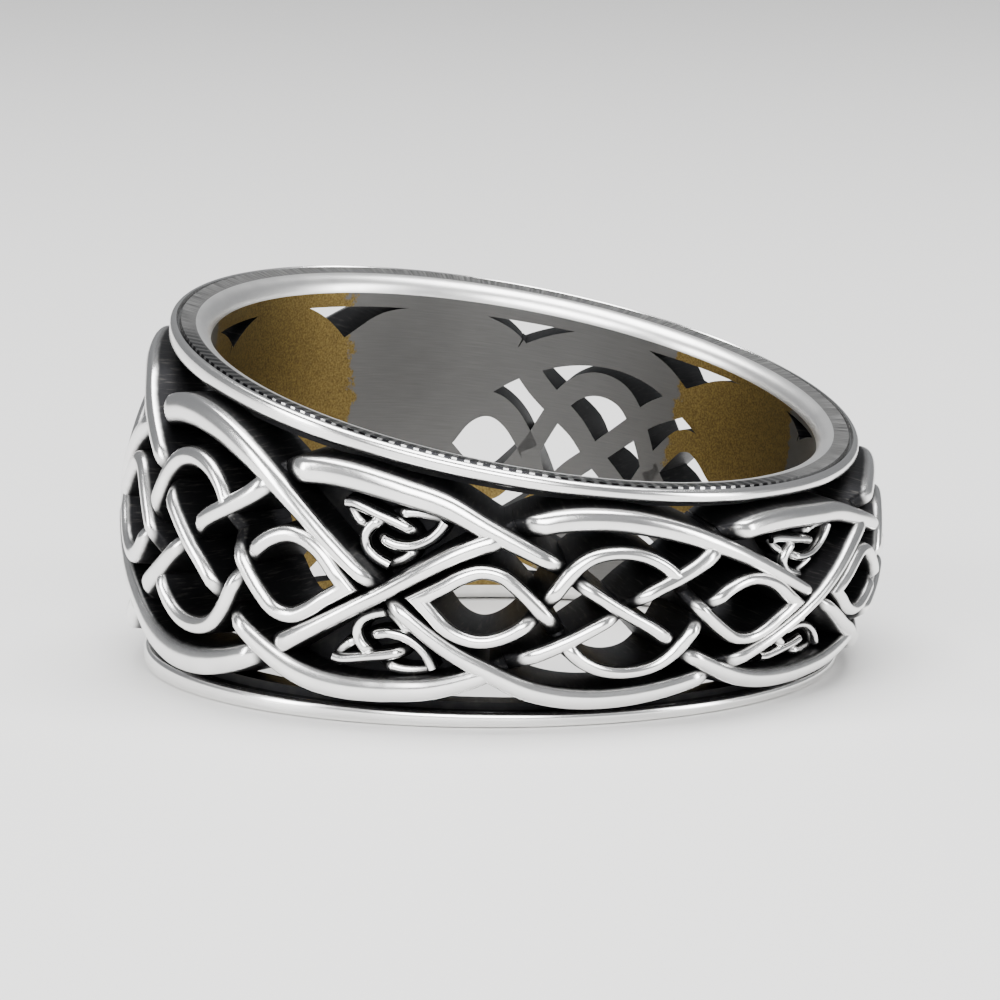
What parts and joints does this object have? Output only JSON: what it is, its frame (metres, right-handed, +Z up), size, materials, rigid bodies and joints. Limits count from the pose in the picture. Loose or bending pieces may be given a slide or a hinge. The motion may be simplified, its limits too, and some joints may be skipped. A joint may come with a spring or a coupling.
{
  "type": "celtic knot ring",
  "caption": "Tapered silver finger ring with two plain rails and a pierced, raised celtic interlace between them.",
  "frame": {"origin": "where the axis of the finger bore meets the surface that the ring lies on", "axes": "+Z up from that surface, +X towards the widest side of the band, and the bore leans from +Z towards -X because the band tapers"},
  "size_m": [0.0238, 0.0238, 0.0115],
  "materials": {
    "silver": "cast silver, polished where raised and blackened in the recesses"
  },
  "bodies": {
    "root": {"ring_band": "silver"}
  },
  "joints": []
}
